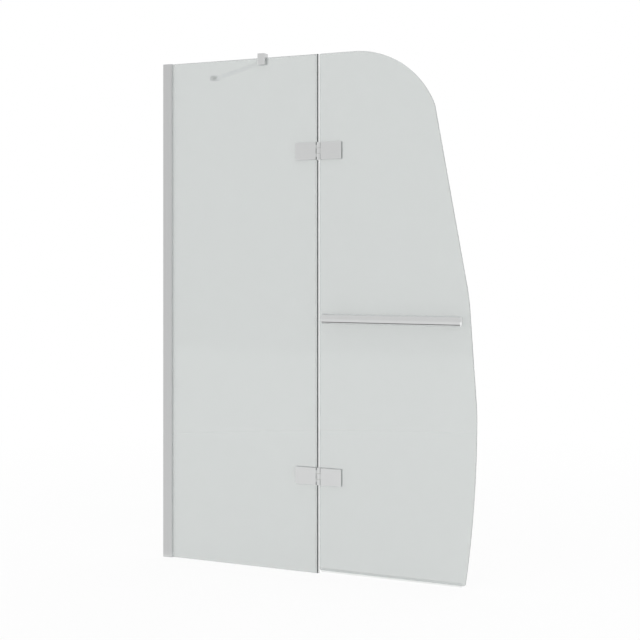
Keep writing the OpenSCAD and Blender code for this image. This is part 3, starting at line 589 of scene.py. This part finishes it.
def moulded_plastic(name, tint, roughness):
    """Moulded plastic with the fine even grain of a spark-eroded mould."""
    material, tree, output = start_material(name)
    # The grain is about 0.3 mm wide, and its roughness varies by this much either way
    grain = pattern(tree, 0.3 * MM, detail=3.0)
    uneven = 0.05
    links = surface(
        tree, stain=(grain, tint, 0.05), sheen=(grain, roughness - uneven, roughness + uneven),
        relief=(grain, 0.01 * MM),
    )
    plastic = add_node(tree, "ShaderNodeBsdfPrincipled", {"IOR": 1.5}, links)
    tree.links.new(plastic.outputs[0], output.inputs["Surface"])
    return material


# How each finish is made from the colour of the same name
MAKERS = {
    "glass": toughened_glass,
    "glass_edge": polished_glass_edge,
    "aluminium": anodised_aluminium,
    "chrome": chrome_plate,
    "polished": polished_aluminium,
    "steel": turned_steel,
    "pad": lambda tint: thin_vinyl("translucent pad vinyl", tint, cover=0.5),
    "bead": lambda tint: thin_vinyl("translucent grey vinyl", tint, cover=0.8),
    "core": extruded_rubber,
    "vinyl": lambda tint: thin_vinyl("clear extruded vinyl", tint, cover=0.1),
    "nylon": lambda tint: moulded_plastic("white moulded nylon", tint, roughness=0.45),
    "cap": lambda tint: moulded_plastic("silver grey moulded plastic", tint, roughness=0.5),
}

# The finish of each of the record's material slots, for the CAD nodes that stay as they are
SLOT_FINISHES = {
    "pane_glass": "glass",
    "profile_aluminium": "aluminium",
    "grey_cap_plastic": "cap",
    "grey_gasket": "pad",
    "pale_gasket": "bead",
    "clear_gasket": "vinyl",
    "white_nylon": "nylon",
    "screw_steel": "steel",
    "chrome_plate": "chrome",
    "bright_aluminium": "polished",
}

# The materials made so far
FINISHES = {}


def finish(name):
    """The material of this name, made on first use."""
    if name not in FINISHES:
        colours = bpy.context.scene.bath_screen_colours
        FINISHES[name] = MAKERS[name](tuple(getattr(colours, name)))
    return FINISHES[name]


# ---------------------------------------------------------------- pieces

class BATHSCREEN_OT_panes(bpy.types.Operator):
    """Give both panes their ground and polished edges"""

    bl_idname = "bath_screen.panes"
    bl_label = "Glass panes"

    def execute(self, context):
        sizes = context.scene.bath_screen_sizes
        half_t = half_thickness("fixed_glass")
        # The panes are thinned by a hairline a side, to stand clear of what presses on them
        thinning = 1.0 - sizes.hairline / half_t
        # Points this close to the plane of a face lie on it
        on_plane = 0.01 * MM
        smooth_angle = 25.0

        def on_rim(ends, normals):
            # an edge between one of the pane's faces and its side
            on_face = all(abs(abs(end.y) - half_t) < on_plane for end in ends)
            flat = sum(abs(normal.y) > FACES_Y for normal in normals)
            return on_face and flat == 1

        for node, name in (("fixed_glass", "fixed_pane"), ("folding_glass", "folding_pane")):
            pane = copy_node(node, name)
            select_edges(pane, on_rim)
            bpy.ops.mesh.bevel(offset=sizes.arris, segments=1, clamp_overlap=True)
            bpy.ops.mesh.select_all(action="SELECT")
            bpy.ops.transform.resize(value=(1.0, thinning, 1.0), center_override=(0, 0, 0))
            finish_mesh(pane, smooth_angle)
            set_materials(pane, finish("glass"), finish("glass_edge"))
            for face in pane.data.polygons:
                face.material_index = 0 if abs(face.normal.y) > FACES_Y else 1
            stand_for(pane, node)
        return {"FINISHED"}


def seam_clip_outline(leg_x, leg_y, edge_x, half_t, sizes):
    """Section of the seam seal's clip: two legs on the glass's faces and a web over its edge."""
    lip = sizes.lip_round
    web_x = edge_x + sizes.web
    seat_x = edge_x + sizes.hairline
    outline = [(web_x, -leg_y), (web_x, leg_y)]
    outline += arc((leg_x + lip, leg_y - lip), lip, 90, 180)
    outline += [(leg_x + lip, half_t), (seat_x, half_t)]
    outline += [(seat_x, -half_t), (leg_x + lip, -half_t)]
    outline += arc((leg_x + lip, -leg_y + lip), lip, 180, 270)
    return outline


def seam_shade_core_outline(leg_y, edge_x, sizes):
    """Section of the seam seal's dark core, painted shade of the gap between the panes: a strip
    along the web, rounded at its two corners.
    """
    corner = sizes.lip_round / 2
    web_x = edge_x + sizes.web
    core_x = web_x + sizes.core
    outline = arc((core_x - corner, leg_y - corner), corner, 0, 90, 3)
    outline += [(web_x, leg_y), (web_x, -leg_y)]
    outline += arc((core_x - corner, -leg_y + corner), corner, 270, 360, 3)
    return outline


class BATHSCREEN_OT_seam_seals(bpy.types.Operator):
    """Model the seals between the panes: a clear clip, a dark core that paints the shade of the gap
    between the panes, and a hollow clear bulb
    """

    bl_idname = "bath_screen.seam_seals"
    bl_label = "Seam seals"

    def execute(self, context):
        sizes = context.scene.bath_screen_sizes
        pin_low, pin_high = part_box("upper_hinge_pin")
        axis_x = (pin_low.x + pin_high.x) / 2
        edge_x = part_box("fixed_glass")[1].x
        half_t = half_thickness("fixed_glass")
        for place in ("top", "middle", "bottom"):
            node = f"seam_seal_{place}"
            low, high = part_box(node)
            height = high.z - low.z

            def at_foot(x, y):
                return (x, y, low.z)

            clip_outline = seam_clip_outline(low.x, high.y, edge_x, half_t, sizes)
            clip = draw_extrusion(f"{node}_clip", clip_outline, at_foot, (0, 0, height))
            set_materials(clip, finish("vinyl"))

            # The dark core paints the shade of the gap between the panes
            shade_core_outline = seam_shade_core_outline(high.y, edge_x, sizes)
            core = draw_extrusion(f"{node}_core", shade_core_outline, at_foot, (0, 0, height))
            set_materials(core, finish("core"))

            middle = (axis_x, 0, (low.z + high.z) / 2)
            bulb = draw_tube(middle, high.x - axis_x, sizes.bulb_wall, height)
            set_materials(bulb, finish("vinyl"))

            strip = joined(f"{place}_seam_strip", [clip, core, bulb])
            stand_for(strip, node)
        return {"FINISHED"}


def drip_outline(low, high, pane_foot, half_t, sizes):
    """Section of the drip seal, in y and z: a clip, an upright fin in front and a bowed vane."""
    leg_y = -low.y
    leg_t = leg_y - half_t
    clip_foot = pane_foot - leg_t
    tip = low.z
    fin_radius = leg_t / 2
    # The vane is a little thicker where it leaves the clip
    vane_root = 1.2 * leg_t
    lip = sizes.lip_round
    seat = pane_foot - sizes.hairline
    step = sizes.vane_step

    outline = [(-leg_y, clip_foot), (-half_t, clip_foot)]
    outline += arc((-half_t + fin_radius, tip + fin_radius), fin_radius, 180, 360)
    outline += [(-half_t + leg_t, clip_foot), (0, clip_foot)]
    outline += bowed((step, clip_foot - step), (high.y - leg_t, tip), sizes.vane_bow)
    outline += bowed((high.y, tip), (vane_root, clip_foot), -sizes.vane_bow)
    outline += [(leg_y, clip_foot)]
    outline += arc((leg_y - lip, high.z - lip), lip, 0, 90)
    outline += [(half_t, high.z - lip), (half_t, seat)]
    outline += [(-half_t, seat), (-half_t, high.z - lip)]
    outline += arc((-leg_y + lip, high.z - lip), lip, 90, 180)
    return outline


class BATHSCREEN_OT_drip_seal(bpy.types.Operator):
    """Model the seal under the folding pane: a clip, an upright fin and a bowed vane"""

    bl_idname = "bath_screen.drip_seal"
    bl_label = "Drip seal"

    def execute(self, context):
        low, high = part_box("drip_seal")
        pane_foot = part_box("folding_glass")[0].z
        outline = drip_outline(
            low, high, pane_foot, half_thickness("folding_glass"), context.scene.bath_screen_sizes
        )
        strip = draw_extrusion(
            "drip_strip", outline, lambda y, z: (low.x, y, z), (high.x - low.x, 0, 0)
        )
        set_materials(strip, finish("vinyl"))
        stand_for(strip, "drip_seal")
        return {"FINISHED"}


def bead_outline(low_x, high_x, glass_y, lip_y, lip, sizes):
    """Section of a glazing bead in front of the glass: a rounded lip and a barbed wedge behind it.

    It runs along the glass from the heel in the pocket, round the lip and back over the barbs.
    """
    rim_x = high_x - lip
    # The wedge in the pocket has this share of the lip's thickness
    wedge_share = 0.6
    wedge_y = glass_y + (lip_y - glass_y) * wedge_share
    barbs = 3
    barb_pitch = (rim_x - low_x) / (barbs + 1)
    outline = [(low_x, glass_y), (high_x - lip / 4, glass_y)]
    outline += arc((rim_x, lip_y - lip), lip, 0, 90)
    outline += [(rim_x, wedge_y)]
    for barb in range(1, barbs + 1):
        barb_x = rim_x - barb_pitch * barb
        outline += [(barb_x, wedge_y - sizes.bead_barb), (barb_x, wedge_y)]
    outline += [(low_x, glass_y + sizes.bead_heel)]
    return outline


class BATHSCREEN_OT_glazing_beads(bpy.types.Operator):
    """Model the wedge gaskets that hold the fixed pane in its profile"""

    bl_idname = "bath_screen.glazing_beads"
    bl_label = "Glazing beads"

    def execute(self, context):
        # Both lips stand out of their jaw by as much as the front one does
        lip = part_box("front_glazing_gasket")[1].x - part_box("glass_profile")[1].x
        for face, side in zip(FACES, (-1, 1)):
            node = f"{face}_glazing_gasket"
            low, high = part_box(node)
            glass_y, lip_y = sorted((abs(low.y), abs(high.y)))
            bead = draw_extrusion(
                f"{face}_glazing_bead",
                bead_outline(low.x, high.x, glass_y, lip_y, lip, context.scene.bath_screen_sizes),
                lambda x, y: (x, side * y, low.z), (0, 0, high.z - low.z),
            )
            set_materials(bead, finish("bead"))
            stand_for(bead, node)
        return {"FINISHED"}


class BATHSCREEN_OT_soft_pads(bpy.types.Operator):
    """Round off the hinge pads, the clamp's liner and the rail's washers"""

    bl_idname = "bath_screen.soft_pads"
    bl_label = "Pads, liner and washers"

    def execute(self, context):
        edge = context.scene.bath_screen_sizes.soft_edge
        for hinge in HINGES:
            for leaf in LEAVES:
                pads = f"{hinge}_hinge_{leaf}"
                softened(f"{pads}_gaskets", f"{pads}_pads", edge, finish("pad"))
        softened("clamp_liner", "clamp_lining", edge, finish("bead"))
        softened("rail_glass_washers", "rail_washer_pairs", edge, finish("vinyl"))
        return {"FINISHED"}


class BATHSCREEN_OT_profile(bpy.types.Operator):
    """Round off the extruded profile and its caps"""

    bl_idname = "bath_screen.profile"
    bl_label = "Wall profile"

    def execute(self, context):
        edge = context.scene.bath_screen_sizes.sheet_edge
        softened("glass_profile", "profile_extrusion", edge, finish("aluminium"))
        for end in ("top", "bottom"):
            softened(f"profile_{end}_cap", f"profile_{end}_plug", edge, finish("cap"))
        return {"FINISHED"}


class BATHSCREEN_OT_hinges(bpy.types.Operator):
    """Round off the hinge plates"""

    bl_idname = "bath_screen.hinges"
    bl_label = "Hinge plates"

    def execute(self, context):
        edge = context.scene.bath_screen_sizes.metal_edge
        for hinge in HINGES:
            for leaf in LEAVES:
                for face in FACES:
                    name = f"{hinge}_hinge_{leaf}_{face}"
                    softened(f"{name}_plate", f"{name}_cover", edge, finish("chrome"))
        return {"FINISHED"}


class BATHSCREEN_OT_arm_fittings(bpy.types.Operator):
    """Round off the clamp on the glass and the foot on the wall"""

    bl_idname = "bath_screen.arm_fittings"
    bl_label = "Clamp and wall foot"

    def execute(self, context):
        edge = context.scene.bath_screen_sizes.metal_edge
        softened("clamp_block", "clamp_body", edge, finish("chrome"))
        softened("clamp_fork", "clamp_yoke", edge, finish("chrome"))
        softened("wall_foot", "wall_foot_body", edge, finish("polished"))
        return {"FINISHED"}


class BATHSCREEN_OT_finishes(bpy.types.Operator):
    """Give every CAD node that stays in view the finish of its material slot"""

    bl_idname = "bath_screen.finishes"
    bl_label = "Finishes"

    def execute(self, context):
        for name, node in frame["nodes"].items():
            if not node.hide_render:
                set_materials(node, finish(SLOT_FINISHES[slot_of(name)]))
        return {"FINISHED"}


# ---------------------------------------------------------------- stage

FRAME_PX = 640
SENSOR_MM = 36.0


def seen_directly(tree):
    """1 for rays from the camera, reflections and what shows through glass, otherwise 0."""
    path = add_node(tree, "ShaderNodeLightPath")
    either = path.outputs["Is Camera Ray"]
    for kind in ("Is Glossy Ray", "Is Transmission Ray"):
        either = add_node(
            tree, "ShaderNodeMath", {"operation": "MAXIMUM"}, {0: either, 1: path.outputs[kind]}
        ).outputs[0]
    return either


def build_world(back_light, reflected_white):
    """A white room: full white where it is seen, a soft grey light where it shines."""
    world = bpy.data.worlds.new("white room")
    bpy.context.scene.world = world
    world.use_nodes = True
    tree = world.node_tree
    tree.nodes.clear()
    output = add_node(tree, "ShaderNodeOutputWorld")
    path = add_node(tree, "ShaderNodeLightPath")
    shining, mirrored, seen = [
        add_node(tree, "ShaderNodeBackground", {"Color": WHITE, "Strength": strength})
        for strength in (back_light, reflected_white, 1.0)
    ]
    reflected = add_node(
        tree, "ShaderNodeMixShader",
        links={0: path.outputs["Is Glossy Ray"], 1: seen.outputs[0], 2: mirrored.outputs[0]},
    )
    shown = add_node(
        tree, "ShaderNodeMixShader",
        links={0: seen_directly(tree), 1: shining.outputs[0], 2: reflected.outputs[0]},
    )
    tree.links.new(shown.outputs[0], output.inputs["Surface"])


def floor_paint(tint, glow, bare_radius, white_radius):
    """Pale floor paint that shows as white and still takes the object's shadow.

    Up to bare_radius from the object the glow is the share of pure white in what is seen of
    the floor; from there to white_radius it turns into the white of the room.
    """
    material, tree, output = start_material("pale floor paint")
    # Patches of slightly duller paint, about 400 mm wide
    patches = pattern(tree, 400 * MM)
    paint_colour = surface(tree, stain=(patches, tint, 0.02))["Base Color"]
    paint = add_node(tree, "ShaderNodeBsdfDiffuse", links={"Color": paint_colour})
    white = add_node(tree, "ShaderNodeEmission", {"Color": WHITE})
    distance = add_node(
        tree, "ShaderNodeVectorMath", {"operation": "LENGTH"}, {0: place_on(tree)}
    ).outputs["Value"]
    whiteness = add_node(
        tree, "ShaderNodeMapRange",
        {"From Min": bare_radius, "From Max": white_radius, "To Min": glow, "To Max": 1.0},
        {"Value": distance},
    ).outputs["Result"]
    shown = add_node(
        tree, "ShaderNodeMath", {"operation": "MULTIPLY"}, {0: whiteness, 1: seen_directly(tree)}
    ).outputs[0]
    mixed = add_node(
        tree, "ShaderNodeMixShader", links={0: shown, 1: paint.outputs[0], 2: white.outputs[0]}
    )
    tree.links.new(mixed.outputs[0], output.inputs["Surface"])
    return material


def card_paint(name, brightness):
    """Evenly lit card of a given brightness, for metal to mirror."""
    material, tree, output = start_material(name)
    # The card's grain is about 60 mm wide
    grain = pattern(tree, 60 * MM)
    tint = (brightness, brightness, brightness)
    card_colour = surface(tree, stain=(grain, tint, 0.02))["Base Color"]
    card = add_node(tree, "ShaderNodeEmission", links={"Color": card_colour})
    tree.links.new(card.outputs[0], output.inputs["Surface"])
    return material


def add_floor(tint):
    """A square of floor just under the object."""
    low, high = CAD_BOX
    middle = (low + high) / 2
    side = 16.0
    drop = 0.5 * MM
    deselect_all()
    bpy.ops.mesh.primitive_plane_add(size=side, location=(middle.x, middle.y, low.z - drop))
    floor = bpy.context.active_object
    floor.name = "floor"
    set_materials(floor, floor_paint(tint, glow=0.9, bare_radius=1.0, white_radius=3.0))


def add_card(name, corner, far_corner, brightness):
    """Sets up a card between two corners, flat across one axis; only reflections show it."""
    corner, far_corner = Vector(corner), Vector(far_corner)
    span = far_corner - corner
    deselect_all()
    bpy.ops.mesh.primitive_plane_add(size=1.0, location=(corner + far_corner) / 2)
    card = bpy.context.active_object
    card.name = name
    if span.y == 0.0:
        card.rotation_euler.x = math.pi / 2
        card.scale = (span.x, span.z, 1.0)
    elif span.x == 0.0:
        card.rotation_euler.y = math.pi / 2
        card.scale = (span.z, span.y, 1.0)
    else:
        card.scale = (span.x, span.y, 1.0)
    set_materials(card, card_paint(f"{name} paint", brightness))
    card.visible_camera = False
    card.visible_transmission = False
    card.visible_diffuse = False
    card.visible_shadow = False


def add_room():
    """Grey cards in front, below, on the right, behind and overhead, for the metal to mirror."""
    left, right = -9.0, 9.0
    front, back = -7.5, 7.6
    foot, top = CAD_BOX[0].z, 6.0
    # The left side has no card, and the back and the ceiling are open as far as this, so that
    # metal that faces left mirrors the white world
    opening = -4.5
    # The floor's card ends just in front of the glass
    floor_end = -30 * MM
    add_card("front_card", (left, front, foot), (right, front, top), brightness=0.70)
    add_card("floor_card", (left, front, foot), (right, floor_end, foot), brightness=0.77)
    add_card("right_card", (right, front, foot), (right, back, top), brightness=0.70)
    add_card("back_card", (opening, back, foot), (right, back, top), brightness=0.73)
    add_card("ceiling_card", (opening, front, top), (right, back, top), brightness=0.70)


def add_rail_shade_strip():
    """A dark strip close under the rail that paints a shade line along its underside: the rail
    mirrors it, and hides it from above.
    """
    low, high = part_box("rail_tube")
    drop = 12 * MM
    ahead = 6 * MM
    behind = 4 * MM
    # The camera looks from the right, so the rail mirrors what lies a little further left
    overrun = 20 * MM
    corner = (low.x - overrun, low.y - ahead, low.z - drop)
    far_corner = (high.x, low.y + behind, low.z - drop)
    # The strip's dark grey is painted shade for the rail's underside to mirror
    add_card("rail_strip", corner, far_corner, brightness=0.15)


def add_softbox(name, place, side, power):
    """A square lamp that faces the object and isn't seen itself, in metal or through glass."""
    low, high = CAD_BOX
    target = (low + high) / 2
    deselect_all()
    bpy.ops.object.light_add(type="AREA", location=place)
    lamp = bpy.context.active_object
    lamp.name = name
    lamp.data.shape = "SQUARE"
    lamp.data.size = side
    lamp.data.energy = power
    lamp.rotation_euler = (target - Vector(place)).to_track_quat("-Z", "Y").to_euler()
    lamp.visible_camera = False
    lamp.visible_glossy = False
    lamp.visible_transmission = False


def add_camera(stage):
    """A level camera, shifted so that its horizon lies on the stage's row of the frame."""
    deselect_all()
    bpy.ops.object.camera_add(location=stage.eye, rotation=(math.pi / 2, 0.0, stage.turn))
    camera = bpy.context.active_object
    camera.name = "camera"
    camera.data.sensor_width = SENSOR_MM
    camera.data.lens = stage.lens
    camera.data.shift_y = (stage.horizon - FRAME_PX / 2) / FRAME_PX
    camera.data.clip_start = 0.05
    camera.data.clip_end = 60.0
    bpy.context.scene.camera = camera


class BATHSCREEN_OT_stage(bpy.types.Operator):
    """Set up the floor, the grey cards, the soft lights, the white room and the camera"""

    bl_idname = "bath_screen.stage"
    bl_label = "Stage"

    def execute(self, context):
        scene = context.scene
        scene.view_settings.view_transform = "Standard"
        add_floor(tuple(scene.bath_screen_colours.floor))
        add_room()
        # A dark strip that paints a shade line under the rail
        add_rail_shade_strip()
        build_world(back_light=0.85, reflected_white=0.97)
        add_softbox("overhead_softbox", (0.6, -1.2, 3.2), side=2.4, power=14.0)
        add_softbox("left_softbox", (-2.6, -2.4, 0.2), side=1.8, power=10.0)
        add_softbox("right_softbox", (3.4, -1.8, 0.2), side=1.8, power=12.0)
        add_softbox("back_softbox", (1.4, 3.0, 2.2), side=2.2, power=8.0)
        add_camera(scene.bath_screen_stage)
        return {"FINISHED"}


# ---------------------------------------------------------------- sidebar and run

PIECE_OPERATORS = (
    BATHSCREEN_OT_panes,
    BATHSCREEN_OT_seam_seals,
    BATHSCREEN_OT_drip_seal,
    BATHSCREEN_OT_glazing_beads,
    BATHSCREEN_OT_soft_pads,
    BATHSCREEN_OT_profile,
    BATHSCREEN_OT_hinges,
    BATHSCREEN_OT_arm_fittings,
    BATHSCREEN_OT_finishes,
    BATHSCREEN_OT_stage,
)


class BATHSCREEN_PT_sidebar(bpy.types.Panel):
    """Lists the pieces of the bath screen, its sizes and its colours"""

    bl_idname = "BATHSCREEN_PT_sidebar"
    bl_label = "Bath screen"
    bl_space_type = "VIEW_3D"
    bl_region_type = "UI"
    bl_category = "Bath screen"

    def draw(self, context):
        layout = self.layout
        scene = context.scene
        for operator in PIECE_OPERATORS:
            layout.operator(operator.bl_idname)
        for group in (scene.bath_screen_sizes, scene.bath_screen_colours, scene.bath_screen_stage):
            box = layout.box()
            for name in group.__annotations__:
                box.prop(group, name)


CLASSES = (
    BathScreenSizes,
    BathScreenColours,
    BathScreenStage,
    *PIECE_OPERATORS,
    BATHSCREEN_PT_sidebar,
)


def register():
    """Registers the classes and hangs the property groups on the scene."""
    for cls in CLASSES:
        bpy.utils.register_class(cls)
    bpy.types.Scene.bath_screen_sizes = bpy.props.PointerProperty(type=BathScreenSizes)
    bpy.types.Scene.bath_screen_colours = bpy.props.PointerProperty(type=BathScreenColours)
    bpy.types.Scene.bath_screen_stage = bpy.props.PointerProperty(type=BathScreenStage)


def unregister():
    """Takes the property groups off the scene and unregisters the classes."""
    del bpy.types.Scene.bath_screen_stage
    del bpy.types.Scene.bath_screen_colours
    del bpy.types.Scene.bath_screen_sizes
    for cls in reversed(CLASSES):
        bpy.utils.unregister_class(cls)


def main():
    """Builds every piece and the stage."""
    register()
    bpy.ops.bath_screen.panes()
    bpy.ops.bath_screen.seam_seals()
    bpy.ops.bath_screen.drip_seal()
    bpy.ops.bath_screen.glazing_beads()
    bpy.ops.bath_screen.soft_pads()
    bpy.ops.bath_screen.profile()
    bpy.ops.bath_screen.hinges()
    bpy.ops.bath_screen.arm_fittings()
    bpy.ops.bath_screen.finishes()
    bpy.ops.bath_screen.stage()
    deselect_all()


if __name__ == "__main__":
    main()
